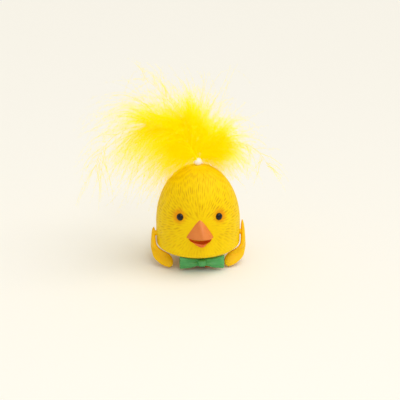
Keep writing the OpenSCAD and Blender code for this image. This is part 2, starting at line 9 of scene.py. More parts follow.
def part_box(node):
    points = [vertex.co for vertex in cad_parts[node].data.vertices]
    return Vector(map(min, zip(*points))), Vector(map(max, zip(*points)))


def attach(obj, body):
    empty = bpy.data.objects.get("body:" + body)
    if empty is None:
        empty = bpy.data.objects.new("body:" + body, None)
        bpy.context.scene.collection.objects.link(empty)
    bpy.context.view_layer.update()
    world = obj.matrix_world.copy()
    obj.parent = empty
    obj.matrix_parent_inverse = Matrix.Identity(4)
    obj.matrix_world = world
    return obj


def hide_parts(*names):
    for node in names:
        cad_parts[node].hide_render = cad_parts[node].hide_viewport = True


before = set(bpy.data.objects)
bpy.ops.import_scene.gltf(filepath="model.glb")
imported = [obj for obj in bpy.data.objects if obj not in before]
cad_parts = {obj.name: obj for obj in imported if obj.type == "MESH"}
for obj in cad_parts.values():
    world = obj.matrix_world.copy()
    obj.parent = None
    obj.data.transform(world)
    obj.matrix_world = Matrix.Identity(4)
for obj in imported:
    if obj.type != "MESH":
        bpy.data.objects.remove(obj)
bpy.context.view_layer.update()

mm = 0.001


# small helpers
def linearColour(text):
    channels = []
    for i in (0, 2, 4):
        c = int(text[i:i + 2], 16) / 255
        channels.append(c / 12.92 if c <= 0.04045 else ((c + 0.055) / 1.055) ** 2.4)
    return (*channels, 1.0)


def addNode(tree, kind, settings=None, links=None):
    node = tree.nodes.new(kind)
    for key, value in (settings or {}).items():
        if isinstance(key, int) or key in node.inputs:
            node.inputs[key].default_value = value
        else:
            setattr(node, key, value)
    for key, source in (links or {}).items():
        tree.links.new(source, node.inputs[key])
    return node


def newMaterial(name, finish):
    material = bpy.data.materials.new(name)
    material.use_nodes = True
    tree = material.node_tree
    tree.nodes.clear()
    shader = addNode(tree, "ShaderNodeBsdfPrincipled", finish)
    output = addNode(tree, "ShaderNodeOutputMaterial")
    tree.links.new(shader.outputs[0], output.inputs["Surface"])
    return material, tree, shader


def addPiece(name, bm, material, body, nodes, sharp=40):
    mesh = bpy.data.meshes.new(name)
    bm.to_mesh(mesh)
    bm.free()
    return addMesh(name, mesh, material, body, nodes, sharp)


def addMesh(name, mesh, material, body, nodes, sharp=40):
    mesh.polygons.foreach_set("use_smooth", [True] * len(mesh.polygons))
    if sharp:
        mesh.set_sharp_from_angle(angle=math.radians(sharp))
    piece = bpy.data.objects.new(name, mesh)
    bpy.context.scene.collection.objects.link(piece)
    mesh.materials.append(material)
    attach(piece, body)
    if nodes:
        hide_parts(*nodes)
    return piece


def smoothStep(a, b, x):
    t = min(1.0, max(0.0, (x - a) / (b - a)))
    return t * t * (3 - 2 * t)


def loft(bm, rings, closed=True):
    # every ring has the same number of points, and each is joined to the one before it
    first = bmesh.ops.create_circle(bm, cap_ends=False, radius=1, segments=len(rings[0]))
    loop = first["verts"]
    edges = list({e for v in loop for e in v.link_edges})
    for v, co in zip(loop, rings[0]):
        v.co = co
    firstEdges = edges
    for ring in rings[1:]:
        made = bmesh.ops.extrude_edge_only(bm, edges=edges)["geom"]
        newVerts = [g for g in made if isinstance(g, bmesh.types.BMVert)]
        edges = [g for g in made if isinstance(g, bmesh.types.BMEdge)]
        # each new vertex is joined to the old one it came from
        new = set(newVerts)
        nextLoop = []
        for old in loop:
            nextLoop.append(next(e.other_vert(old) for e in old.link_edges if e.other_vert(old) in new))
        for v, co in zip(nextLoop, ring):
            v.co = co
        loop = nextLoop
    if closed:
        bmesh.ops.contextual_create(bm, geom=edges)
        bmesh.ops.contextual_create(bm, geom=firstEdges)
    bmesh.ops.recalc_face_normals(bm, faces=bm.faces[:])
    return bm


# materials
def combedVinyl():
    # soft vinyl (PVC), rotation moulded with a combed texture: satin, and a little see-through; the colour is
    # darkened in the combed grooves as painted shade
    material, tree, shader = newMaterial("combedYellowVinyl", {
        "Roughness": 0.48, "IOR": 1.5, "Subsurface Weight": 0.1, "Subsurface Scale": 0.003,
        "Specular IOR Level": 0.1, "Subsurface Radius": (1.0, 0.6, 0.05)})
    coords = addNode(tree, "ShaderNodeTexCoord")
    grooveShade = addNode(tree, "ShaderNodeAttribute", {"attribute_name": "grooveShade"})
    cloud = addNode(tree, "ShaderNodeTexNoise", {"Scale": 90, "Detail": 3},
        {"Vector": coords.outputs["Object"]})
    base = addNode(tree, "ShaderNodeMix", {"data_type": "RGBA"}, {"Factor": cloud.outputs["Fac"]})
    base.inputs["A"].default_value = linearColour("f6c800")
    base.inputs["B"].default_value = linearColour("ffdd00")
    # painted shade: the colour is darkened along the combed grooves, more where a groove is deeper
    lines = addNode(tree, "ShaderNodeMix", {"data_type": "RGBA"},
        {"Factor": grooveShade.outputs["Fac"], "A": base.outputs["Result"]})
    lines.inputs["B"].default_value = linearColour("c48c00")
    last = lines.outputs["Result"]
    # orange spray around each eye
    for side in (-1, 1):
        centre = (side * eyes["spray"][0] * mm, eyes["spray"][1] * mm, eyes["spray"][2] * mm)
        away = addNode(tree, "ShaderNodeVectorMath", {"operation": "DISTANCE", 1: centre},
            {0: coords.outputs["Object"]})
        fade = addNode(tree, "ShaderNodeMapRange", {"interpolation_type": "SMOOTHSTEP",
            "From Min": eyes["sprayInner"] * mm, "From Max": eyes["sprayRadius"] * mm,
            "To Min": eyes["sprayDepth"], "To Max": 0.0}, {"Value": away.outputs["Value"]})
        spray = addNode(tree, "ShaderNodeMix", {"data_type": "RGBA"},
            {"Factor": fade.outputs["Result"], "A": last})
        spray.inputs["B"].default_value = linearColour("e87a08")
        last = spray.outputs["Result"]
    tree.links.new(last, shader.inputs["Base Color"])
    grain = addNode(tree, "ShaderNodeTexNoise", {"Scale": 2600, "Detail": 2},
        {"Vector": coords.outputs["Object"]})
    bump = addNode(tree, "ShaderNodeBump", {"Strength": 0.25, "Distance": 0.12 * mm},
        {"Height": grain.outputs["Fac"]})
    tree.links.new(bump.outputs["Normal"], shader.inputs["Normal"])
    return material


def paintedPlastic(name, low, high, roughness, grainSize, bumpHeight, extra=None):
    # moulded plastic with a thin painted coat: small cloudy change of tone and a fine orange-peel bump
    material, tree, shader = newMaterial(name, {"Roughness": roughness, "IOR": 1.5, **(extra or {})})
    coords = addNode(tree, "ShaderNodeTexCoord")
    cloud = addNode(tree, "ShaderNodeTexNoise", {"Scale": 0.35 / (grainSize * mm), "Detail": 4},
        {"Vector": coords.outputs["Object"]})
    ramp = addNode(tree, "ShaderNodeMix", {"data_type": "RGBA"}, {"Factor": cloud.outputs["Fac"]})
    ramp.inputs["A"].default_value = linearColour(low)
    ramp.inputs["B"].default_value = linearColour(high)
    tree.links.new(ramp.outputs["Result"], shader.inputs["Base Color"])
    peel = addNode(tree, "ShaderNodeTexNoise", {"Scale": 1 / (grainSize * mm), "Detail": 2},
        {"Vector": coords.outputs["Object"]})
    bump = addNode(tree, "ShaderNodeBump", {"Strength": 0.3, "Distance": bumpHeight * mm},
        {"Height": peel.outputs["Fac"]})
    tree.links.new(bump.outputs["Normal"], shader.inputs["Normal"])
    wear = addNode(tree, "ShaderNodeMapRange", {"From Min": 0.3, "From Max": 0.7, "To Min": roughness - 0.06,
        "To Max": roughness + 0.1}, {"Value": cloud.outputs["Fac"]})
    tree.links.new(wear.outputs["Result"], shader.inputs["Roughness"])
    return material


def turnedMetal(name, low, high, roughness, lineSize, axis):
    # bright drawn or turned metal: fine lines round the axis that it was cut on
    material, tree, shader = newMaterial(name, {"Metallic": 1.0, "Roughness": roughness})
    coords = addNode(tree, "ShaderNodeTexCoord")
    stretch = {"X": (60, 2500, 2500), "Y": (2500, 60, 2500), "Z": (2500, 2500, 60)}[axis]
    mapping = addNode(tree, "ShaderNodeMapping", {"Scale": tuple(s * 0.2 / lineSize for s in stretch)},
        {"Vector": coords.outputs["Object"]})
    lines = addNode(tree, "ShaderNodeTexNoise", {"Scale": 1, "Detail": 3},
        {"Vector": mapping.outputs["Vector"]})
    tone = addNode(tree, "ShaderNodeMix", {"data_type": "RGBA"}, {"Factor": lines.outputs["Fac"]})
    tone.inputs["A"].default_value = linearColour(low)
    tone.inputs["B"].default_value = linearColour(high)
    tree.links.new(tone.outputs["Result"], shader.inputs["Base Color"])
    wear = addNode(tree, "ShaderNodeMapRange", {"To Min": roughness - 0.08, "To Max": roughness + 0.12},
        {"Value": lines.outputs["Fac"]})
    tree.links.new(wear.outputs["Result"], shader.inputs["Roughness"])
    return material


def dyedDown():
    # dyed marabou down: saturated near the quill, bleached and fine at the tips, soft with no highlight; it
    # also gives off a painted glow in its own colour, standing in for light shining through the down
    material, tree, shader = newMaterial("dyedMarabouDownPaintedGlow", {
        "Roughness": 0.9, "Specular IOR Level": 0.02})
    tip = addNode(tree, "ShaderNodeAttribute", {"attribute_name": "tip"})
    tone = addNode(tree, "ShaderNodeValToRGB", {}, {"Fac": tip.outputs["Fac"]})
    ramp = tone.color_ramp
    ramp.elements[0].position = 0.0
    ramp.elements[0].color = linearColour("ffe700")
    ramp.elements[1].position = 1.0
    ramp.elements[1].color = linearColour("fffac8")
    middle = ramp.elements.new(0.55)
    middle.color = linearColour("fff000")
    tree.links.new(tone.outputs["Color"], shader.inputs["Base Color"])
    # painted glow: the down and the quills shine in their own colour, though they are no lamp
    shader.inputs["Emission Strength"].default_value = feathers["paintedGlow"]
    tree.links.new(tone.outputs["Color"], shader.inputs["Emission Color"])
    return material


# one material for each finish
wingVinyl = paintedPlastic("wingYellowVinyl", "f6b800", "ffd200", 0.5, 1.2, 0.05,
    {"Subsurface Weight": 0.08, "Subsurface Scale": 0.003, "Specular IOR Level": 0.2})
beakPaint = paintedPlastic("beakOrangeEnamel", "d66e1e", "ea8c3c", 0.45, 0.8, 0.03)
mouthPaint = paintedPlastic("mouthRedEnamel", "de5406", "f07a20", 0.4, 0.8, 0.03)
bowPaint = paintedPlastic("bowGreenEnamel", "2e9246", "62ba6c", 0.36, 0.9, 0.04)
beadGlass = paintedPlastic("blackBeadGlass", "040303", "0a0706", 0.06, 0.5, 0.002,
    {"Specular IOR Level": 0.35})
plugPlastic = paintedPlastic("whiteBeadPlastic", "fbf2ec", "ffffff", 0.28, 0.5, 0.01)
footPlastic = paintedPlastic("orangeAbs", "d85a08", "ee7a1c", 0.4, 0.8, 0.02)
keyPlastic = paintedPlastic("yellowAcetal", "e8a800", "f8c818", 0.3, 0.8, 0.015)
platePlastic = paintedPlastic("darkAcetal", "26282c", "34373c", 0.42, 0.7, 0.015)
nylon = paintedPlastic("naturalNylon", "e2dcc8", "f4efe0", 0.36, 0.5, 0.01)
steel = turnedMetal("drawnSteel", "9a9a98", "c8c8c6", 0.28, 1.0, "Y")
springSteel = turnedMetal("bluedSpringSteel", "3c4656", "6a7688", 0.32, 1.0, "Z")
brass = turnedMetal("stampedBrass", "a87a30", "d8b060", 0.3, 1.0, "X")
pinSteel = turnedMetal("pinSteel", "9a9a98", "c8c8c6", 0.28, 1.0, "X")
carried = {
    steel: ["shell_screws", "plate_screws", "motor_screws", "winding_arbor", "second_arbor", "cam_arbor",
        "governor_arbor"],
    springSteel: ["mainspring", "click_spring"], brass: ["great_wheel", "governor_flywheel"],
    nylon: ["second_wheel", "cam_wheel", "hop_cam", "governor_pinion"], pinSteel: ["foot_hinge_pin"],
    platePlastic: ["front_motor_plate", "rear_motor_plate"]}
for material, names in carried.items():
    for name in names:
        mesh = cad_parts[name].data
        mesh.materials.clear()
        mesh.materials.append(material)
print("materials made")

# body shell
shell = {"sideBottom": 10.3, "sideTop": 19.5, "bellyBottom": 5.3, "rows": 200, "columns": 200, "wall": 1.4,
    "lineSpacing": 1.2, "lineLength": 4.2, "lineDepth": 0.26, "ridge": 0.14, "ridgeWidth": 2.0,
    "faceCentre": 24.5, "openingX": 8.6, "openingY": 9.6}
eyes = {"radius": 1.65, "sunk": 0.35, "turn": 28, "flat": 0.86, "stem": 0.6, "stemLength": 3.0,
    "spray": (9.2, -16.0, 27.6), "sprayInner": 1.2, "sprayRadius": 4.6, "sprayDepth": 0.7}
screws = {"sideX": 13.6, "sideZ": 10.9, "belowCrown": 6, "hole": 1.9, "shank": 1.05, "boss": 2.5, "seat": 4.5,
    "keyHole": 2.15}
vinyl = combedVinyl()
low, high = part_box("front_shell")
bodyRadius = high.x / mm
crown = high.z / mm
domeHeight = crown - shell["sideTop"]
bellyHeight = shell["sideBottom"] - shell["bellyBottom"]


def bodyDepth(x, z):
    r = bodyRadius
    if z > shell["sideTop"]:
        r = bodyRadius * math.sqrt(max(0, 1 - ((z - shell["sideTop"]) / domeHeight) ** 2))
    elif z < shell["sideBottom"]:
        r = bodyRadius * math.sqrt(max(0, 1 - ((shell["sideBottom"] - z) / bellyHeight) ** 2))
    return math.sqrt(max(0, r * r - x * x))


def profilePoints(count):
    fine = [(bodyRadius * math.cos(a), shell["sideTop"] + domeHeight * math.sin(a))
        for a in np.linspace(math.pi / 2, 0, 400)]
    fine += [(bodyRadius * math.cos(a), shell["sideBottom"] - bellyHeight * math.sin(a))
        for a in np.linspace(0, math.pi / 2, 300)]
    fine = np.array(fine)
    along = np.concatenate([[0], np.cumsum(np.linalg.norm(np.diff(fine, axis=0), axis=1))])
    even = np.linspace(0, along[-1], count)
    return np.interp(even, along, fine[:, 0]), np.interp(even, along, fine[:, 1]), even


rowRadius, rowHeight, rowAlong = profilePoints(shell["rows"])
faceAlong = float(np.interp(-shell["faceCentre"], -rowHeight, rowAlong))


def combDepth(x, y, along):
    # depth of the combed lines, 0 to 1, at a point of the body
    across = math.atan2(x, -y) * bodyRadius
    down = along - faceAlong
    wobble = noise.noise(Vector((across * 0.12, down * 0.12, 3.1)))
    far = math.hypot(across, down) + 1.6 * wobble
    turn = math.atan2(across, down)
    turn += 0.42 / max(8.5, far) * noise.noise(Vector((across * 0.3, down * 0.3, 8.7)))
    band = far / shell["lineLength"] + 0.9 * noise.noise(Vector((turn * 11, 0.5, 1.3)))
    level = math.floor(band)
    count = max(6, round(2 * math.pi * (level + 0.5) * shell["lineLength"] / shell["lineSpacing"]))
    line = 0.5 + 0.5 * math.cos(turn * count + level * 2.4)
    ends = math.sin(math.pi * (band - level)) ** 0.7
    strong = 0.75 + 0.8 * noise.noise(Vector((across * 0.35, down * 0.35, level * 1.7)))
    # the cheeks and the place round the beak are smoother
    calm = smoothStep(4.5, 9.5, math.hypot(across * 0.9, down - 4)) * (0.45 + 0.55 * smoothStep(15, -4, down))
    front = line ** 1.3 * ends * calm
    # on the back the lines run down from the crown
    band = along / shell["lineLength"] + 0.9 * noise.noise(Vector((across * 0.5, 4.5, 2.2)))
    drift = across + 1.2 * noise.noise(Vector((across * 0.1, along * 0.12, 5.5)))
    line = 0.5 + 0.5 * math.cos(2 * math.pi * drift / (shell["lineSpacing"] * 1.05))
    rear = line ** 1.3 * math.sin(math.pi * (band - math.floor(band))) ** 0.7
    share = smoothStep(1.7, 2.3, abs(math.atan2(x, -y)))
    return (front * (1 - share) + rear * share) * min(1.0, max(0.2, strong))


def punchHole(bm, centre, axis, radius):
    # round hole: the faces inside it go and the vertices round it move onto the circle
    inside = set()
    for v in bm.verts:
        offset = v.co - centre
        if offset.dot(axis) < 0:
            continue
        flat = offset - axis * offset.dot(axis)
        if flat.length < radius:
            inside.add(v)
    faces = [f for f in bm.faces if sum(v in inside for v in f.verts) * 2 > len(f.verts)]
    rim = {v for f in faces for v in f.verts if any(g not in faces for g in v.link_faces)}
    bmesh.ops.delete(bm, geom=faces, context="FACES")
    for v in rim:
        if v.is_valid:
            offset = v.co - centre
            ahead = axis * offset.dot(axis)
            flat = offset - ahead
            v.co = centre + ahead + flat * (radius / flat.length)


def shellHalf(side, holes):
    bm = bmesh.new()
    verts = [bm.verts.new((r * mm, 0, z * mm)) for r, z in zip(rowRadius, rowHeight)]
    for a, b in zip(verts, verts[1:]):
        bm.edges.new((a, b))
    bmesh.ops.spin(bm, geom=bm.verts[:] + bm.edges[:], cent=(0, 0, 0), axis=(0, 0, 1), dvec=(0, 0, 0),
        angle=side * math.pi, steps=shell["columns"], use_merge=False)
    bmesh.ops.remove_doubles(bm, verts=bm.verts[:], dist=0.01 * mm)
    bmesh.ops.recalc_face_normals(bm, faces=bm.faces[:])
    if sum(f.normal.dot(f.calc_center_median()) for f in bm.faces) < 0:
        bmesh.ops.reverse_faces(bm, faces=bm.faces[:])
    bm.normal_update()
    grooveShade = bm.verts.layers.float.new("grooveShade")
    moves = []
    for v in bm.verts:
        x, y, z = v.co / mm
        along = float(np.interp(-z, -rowHeight, rowAlong))
        groove = combDepth(x, y, along)
        crownFade = smoothStep(crown + 0.05, crown - 1.2, z)
        bellyFade = smoothStep(shell["bellyBottom"] + 0.4, shell["sideBottom"] - 3, z)
        fromEye = min((v.co / mm - Vector((s * eyeAt[0], eyeAt[1], eyeAt[2]))).length for s in (-1, 1))
        depth = groove * crownFade * bellyFade * smoothStep(1.5, 2.6, fromEye)
        # the groove depth is also stored for the painted shade in the grooves
        v[grooveShade] = depth * 0.7
        # a low ridge runs down the forehead
        ridge = 0
        if y <= 0:
            ridge = shell["ridge"] * math.exp(-(x / shell["ridgeWidth"]) ** 2)
            ridge *= smoothStep(20, 30, z) * smoothStep(crown, crown - 8, z)
        moves.append((v, v.normal * (ridge - shell["lineDepth"] * depth) * mm))
    for v, move in moves:
        flat = abs(v.co.y) < 1e-7
        v.co += move
        if flat:
            v.co.y = 0
    # the opening in the belly that the feet come through
    ox, oy = shell["openingX"] * mm, shell["openingY"] * mm
    for point, normal in (((ox, 0, 0), (1, 0, 0)), ((-ox, 0, 0), (1, 0, 0)), ((0, side * oy, 0), (0, 1, 0))):
        everything = bm.verts[:] + bm.edges[:] + bm.faces[:]
        bmesh.ops.bisect_plane(bm, geom=everything, plane_co=point, plane_no=normal, dist=1e-8)
    gone = []
    for f in bm.faces:
        middle = f.calc_center_median()
        if abs(middle.x) < ox and abs(middle.y) < oy and middle.z < shell["sideBottom"] * mm:
            gone.append(f)
    bmesh.ops.delete(bm, geom=gone, context="FACES")
    for centre, axis, radius in holes:
        punchHole(bm, Vector(centre) * mm, Vector(axis), radius * mm)
    bmesh.ops.solidify(bm, geom=bm.faces[:], thickness=shell["wall"] * mm)
    # the inner edge of each hole is cleared to the same circle
    for centre, axis, radius in holes:
        centre, axis = Vector(centre) * mm, Vector(axis)
        for v in bm.verts:
            offset = v.co - centre
            ahead = axis * offset.dot(axis)
            flat = offset - ahead
            if offset.dot(axis) > 0 and flat.length < radius * mm:
                v.co = centre + ahead + flat * (radius * mm / flat.length)
    return bm


low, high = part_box("left_eye")
eyeTurn = math.radians(eyes["turn"])
eyeHeight = (low.z + high.z) / 2 / mm
eyeOut = bodyDepth(0, eyeHeight) - eyes["sunk"]
eyeAt = (eyeOut * math.sin(eyeTurn), -eyeOut * math.cos(eyeTurn), eyeHeight)
keyLow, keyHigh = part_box("winding_key")
keyHeight = (keyLow.z + keyHigh.z) / 2 / mm
screwPlaces = ((-screws["sideX"], screws["sideZ"]), (screws["sideX"], screws["sideZ"]),
    (0, crown - screws["belowCrown"]))
rearHoles = [((0, 0, keyHeight), (0, 1, 0), screws["keyHole"])]
rearHoles += [((x, 0, z), (0, 1, 0), screws["hole"]) for x, z in screwPlaces]
addPiece("frontShell", shellHalf(-1, []), vinyl, "root", ["front_shell"], 0)
addPiece("rearShell", shellHalf(1, rearHoles), vinyl, "root", ["rear_shell"], 0)


def screwTubes():
    # bosses inside the rear shell that the screws sit in
    bm = bmesh.new()
    boss, hole, shank, seat = screws["boss"], screws["hole"], screws["shank"], screws["seat"]
    joint, wall = 0.02, 99  # from the joint of the two halves out to the wall
    for x, z in screwPlaces:
        rings = []
        for y, r in ((joint, boss), (wall, boss), (wall, hole), (seat, hole), (seat, shank), (joint, shank)):
            ring = []
            for a in np.linspace(0, 2 * math.pi, 32, endpoint=False):
                px, pz = x + r * math.cos(a), z + r * math.sin(a)
                # the outer end follows the inside of the wall
                limit = max(0.03, bodyDepth(px, pz) - 0.75)
                ring.append(Vector((px, min(y, limit), pz)) * mm)
            rings.append(ring)
        rings.append(rings[0])
        loft(bm, rings, closed=False)
    bmesh.ops.remove_doubles(bm, verts=bm.verts[:], dist=0.001 * mm)
    bmesh.ops.recalc_face_normals(bm, faces=bm.faces[:])
    return bm


addPiece("screwBosses", screwTubes(), wingVinyl, "root", None, 40)
print("body shell made")


# eyes
def beadEye(side):
    bm = bmesh.new()
    bmesh.ops.create_uvsphere(bm, u_segments=40, v_segments=24, radius=eyes["radius"] * mm)
    bmesh.ops.scale(bm, vec=(1, eyes["flat"], 1), verts=bm.verts[:])
    stem = bmesh.ops.create_cone(bm, cap_ends=True, segments=20, radius1=eyes["stem"] * mm,
        radius2=eyes["stem"] * mm, depth=eyes["stemLength"] * mm)
    bmesh.ops.rotate(bm, verts=stem["verts"], matrix=Matrix.Rotation(math.pi / 2, 3, "X"))
    bmesh.ops.translate(bm, verts=stem["verts"], vec=(0, 1.9 * mm, 0))
    bmesh.ops.rotate(bm, verts=bm.verts[:], matrix=Matrix.Rotation(side * eyeTurn, 3, "Z"))
    bmesh.ops.translate(bm, verts=bm.verts[:], vec=Vector((side * eyeAt[0], eyeAt[1], eyeAt[2])) * mm)
    return bm


addPiece("leftEyeBead", beadEye(-1), beadGlass, "root", ["left_eye"])
addPiece("rightEyeBead", beadEye(1), beadGlass, "root", ["right_eye"])

# beak
beak = {"width": 12.0, "top": 27.4, "mouth": 18.5, "tip": -23.6, "root": -17.2, "rings": 26, "sides": 48,
    "jawWidth": 11.0, "jawTip": -23.0, "jawLow": 15.3, "sideways": 1.3}


def upperBeak():
    bm = bmesh.new()
    rings = []
    for t in np.linspace(0, 1, beak["rings"]):
        y = beak["root"] + (beak["tip"] - beak["root"]) * t
        half = beak["width"] / 2 * max(0.02, 1 - t ** 1.7) ** 0.62
        tall = (beak["top"] - beak["mouth"]) * max(0.02, 1 - t ** 1.25) ** 0.75
        base = beak["mouth"] + 0.2 * t + 0.5 * t ** 2
        shift = beak["sideways"] * t ** 1.5
        ring = []
        for a in np.linspace(0, 2 * math.pi, beak["sides"], endpoint=False):
            c, s = math.cos(a), math.sin(a)
            x = half * math.copysign(abs(c) ** 0.9, c)
            if s >= 0:
                roof = (1 - (abs(x) / half) ** 1.35) if half > 0 else 0
                z = base + tall * max(roof, 0) ** 0.92
            else:
                z = base + 0.45 * s * (1 - t) ** 0.5 + 0.9 * (1 - (x / half) ** 2) * (1 - t)
            ring.append(Vector((x + shift, y, z)) * mm)
        rings.append(ring)
    return loft(bm, rings)


def lowerBeak():
    bm = bmesh.new()
    rings = []
    for t in np.linspace(0, 1, beak["rings"]):
        y = beak["root"] + (beak["jawTip"] - beak["root"]) * t
        half = beak["jawWidth"] / 2 * max(0.02, 1 - t ** 1.5) ** 0.75
        shift = beak["sideways"] * t ** 1.5
        top = beak["mouth"] + 0.8 - 2.0 * smoothStep(0, 0.45, t) - 0.4 * t
        deep = beak["mouth"] - beak["jawLow"] - 0.6
        deep *= (0.75 + 0.25 * t) * max(0.03, 1 - t ** 4) ** 0.6
        ring = []
        for a in np.linspace(0, 2 * math.pi, beak["sides"], endpoint=False):
            c, s = math.cos(a), math.sin(a)
            x = half * c
            if s >= 0:
                z = top - 0.8 * (1 - c * c) * (1 - 0.5 * t)
            else:
                z = top + deep * s * abs(s) ** 0.15 * (1 - abs(c) ** 3)
            ring.append(Vector((x + shift, y, z)) * mm)
        rings.append(ring)
    return loft(bm, rings)


addPiece("upperBeakPiece", upperBeak(), beakPaint, "root", ["upper_beak"], 50)
addPiece("lowerBeakPiece", lowerBeak(), mouthPaint, "root", ["lower_beak"], 50)
print("face made")

# bow tie
bow = {"knotWidth": 4.2, "knotDepth": 3.9, "knotHalf": 1.75, "ribs": 4, "pleats": 6.5, "crease": 0.5,
    "rings": 26, "sides": 72}


def bellyUnder(r):
    # height of the underside of the body at a distance from its middle
    return shell["sideBottom"] - bellyHeight * math.sqrt(max(0, 1 - (r / bodyRadius) ** 2))


def bowTie():
    bm = bmesh.new()
    low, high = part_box("bow_tie")
    middle = (low.x + high.x) / 2 / mm
    depth = (low.y + high.y) / 2 / mm
    bottom = low.z / mm
    half = (high.x - low.x) / 2 / mm
    for side in (-1, 1):
        rings = []
        for t in np.linspace(0, 1, bow["rings"]):
            x = middle + side * (1.2 + (half - 1.2) * t)
            under = bottom + 0.1 + 1.5 * (1 - t) ** 1.3
            over = 5.9 + 2.4 * t
            thick = 1.0 + 0.8 * math.sin(math.pi * min(1, t * 1.05)) ** 0.8 - 0.25 * t
            tall = (over - under) / 2
            if t > 0.92:
                shrink = math.sqrt(max(0.05, 1 - ((t - 0.92) / 0.08) ** 2))
                tall, thick = tall * (0.8 + 0.2 * shrink), thick * shrink
            ring = []
            for a in np.linspace(0, 2 * math.pi, bow["sides"], endpoint=False):
                c, s = math.cos(a), math.sin(a)
                squareC = math.copysign(abs(c) ** 0.75, c)
                squareS = math.copysign(abs(s) ** 0.75, s)
                crease = bow["crease"] * math.cos(bow["pleats"] * squareS + 0.8 + 1.2 * t)
                crease *= smoothStep(0, 0.15, t)
                y = depth + squareC * (thick + crease * (1 - 0.55 * t))
                z = (over + under) / 2 + tall * squareS + 0.15 * math.sin(9 * t) * (1 - t)
                # the loops are pressed up against the body
                z = min(z, bellyUnder(math.hypot(x, y)) - 0.3)
                ring.append(Vector((x, y, z)) * mm)
            rings.append(ring)
        loft(bm, rings)
    centre = bottom + 3.0
    rings = []
    for t in np.linspace(-1, 1, 14):
        end = math.sqrt(max(0.04, 1 - abs(t) ** 6))
        ring = []
        for a in np.linspace(0, 2 * math.pi, 96, endpoint=False):
            c, s = math.cos(a), math.sin(a)
            x = bow["knotWidth"] / 2 * math.copysign(abs(c) ** 0.6, c)
            y = bow["knotDepth"] / 2 * math.copysign(abs(s) ** 0.6, s)
            rib = 0.16 * math.cos(2 * math.pi * x / (bow["knotWidth"] / bow["ribs"])) * abs(s) ** 0.5
            waist = 1 - 0.08 * (1 - t * t)
            out = (y - math.copysign(rib, -s)) * end * waist
            ring.append(Vector((middle + x * end * waist, depth - 0.15 + out,
                centre + 0.2 + bow["knotHalf"] * t)) * mm)
        rings.append(ring)
    loft(bm, rings)
    return bm


addPiece("bowTiePiece", bowTie(), bowPaint, "root", ["bow_tie"], 60)

# wings
wing = {"sides": 44, "rings": 54, "leftTop": 16.4, "peg": 1.2, "pegLength": 4.2, "pegAt": (18.5, -2, 14.5),
    # height, x and y of the middle, half breadth, half thickness, turn of the broad way from Y towards X
    "sections": [(19.4, 20.1, 0.2, 0.3, 0.2, 0), (18.6, 20.2, 0.0, 1.1, 0.5, 0),
        (16.6, 20.25, -0.9, 2.1, 0.85, 0), (13.0, 20.3, -2.5, 2.9, 1.05, 2),
        (10.0, 20.3, -3.7, 3.2, 1.1, 10), (8.4, 19.6, -4.3, 3.3, 1.1, 30),
        (7.0, 18.4, -4.9, 3.25, 1.1, 60), (5.7, 17.0, -5.6, 3.95, 1.1, 78), (4.4, 16.2, -6.6, 4.25, 1.15, 82),
        (3.2, 15.3, -7.8, 3.8, 1.15, 82), (2.0, 14.4, -8.8, 2.8, 1.0, 82), (1.3, 13.8, -9.4, 1.7, 0.7, 82),
        (0.9, 13.5, -9.7, 0.4, 0.3, 82)]}


def paddleWing(side):
    bm = bmesh.new()
    sections = np.array(wing["sections"])
    if side < 0:
        # the left shoulder is shorter
        high = sections[:, 0] > 12
        sections[high, 0] = 12 + (sections[high, 0] - 12) * (wing["leftTop"] - 12) / (sections[0, 0] - 12)
    ends = np.linspace(0, 1, len(sections))
    places = np.linspace(0, 1, wing["rings"])
    smooth = []
    for k in range(6):
        column = np.interp(places, ends, sections[:, k])
        for repeat in range(3):
            column[1:-1] = (column[:-2] + 2 * column[1:-1] + column[2:]) / 4
        smooth.append(column)
    rings = []
    for t, z, cx, cy, broad, thick, turn in zip(places, *smooth):
        turn = math.radians(turn)
        across = Vector((-math.sin(turn), -math.cos(turn) * 0.9, 0))
        normal = Vector((math.cos(turn), -math.sin(turn), 0))
        ring = []
        for a in np.linspace(0, 2 * math.pi, wing["sides"], endpoint=False):
            c, s = math.cos(a), math.sin(a)
            u = broad * math.copysign(abs(c) ** 0.9, c)
            v = thick * math.copysign(abs(s) ** 0.8, s)
            groove = 0.1 * math.cos(u * 5.0) * smoothStep(0.2, 0.5, t) * abs(s) if s > 0 else 0
            point = Vector((cx, cy, z)) + across * u + normal * (v + groove)
            ring.append(Vector((side * point.x, point.y, point.z)) * mm)
        rings.append(ring)
    loft(bm, rings)
    # the hinge peg goes into the side of the body
    peg = bmesh.ops.create_cone(bm, cap_ends=True, segments=28, radius1=wing["peg"] * mm,
        radius2=wing["peg"] * mm, depth=wing["pegLength"] * mm)
    bmesh.ops.rotate(bm, verts=peg["verts"], matrix=Matrix.Rotation(math.pi / 2, 3, "Y"))
    x, y, z = wing["pegAt"]
    bmesh.ops.translate(bm, verts=peg["verts"], vec=Vector((side * x, y, z)) * mm)
    return bm


addPiece("leftWingPiece", paddleWing(-1), wingVinyl, "left_wing", ["left_wing"], 60)
addPiece("rightWingPiece", paddleWing(1), wingVinyl, "right_wing", ["right_wing"], 60)
print("bow and wings made")


# moulded parts whose CAD shape is right and only needs its edges rounded
def softened(name, node, material, body, width, segments=3):
    bm = bmesh.new()
    bm.from_mesh(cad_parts[node].data)
    bmesh.ops.remove_doubles(bm, verts=bm.verts[:], dist=0.002 * mm)
    bmesh.ops.dissolve_limit(bm, angle_limit=math.radians(1), verts=bm.verts[:], edges=bm.edges[:])
    sharp = [e for e in bm.edges if len(e.link_faces) == 2 and e.calc_face_angle(0) > math.radians(35)]
    bmesh.ops.bevel(bm, geom=sharp, offset=width * mm, affect="EDGES", segments=segments, profile=0.5,
        material=-1, offset_type="OFFSET", clamp_overlap=True)
    bmesh.ops.recalc_face_normals(bm, faces=bm.faces[:])
    return addPiece(name, bm, material, body, [node], 30)


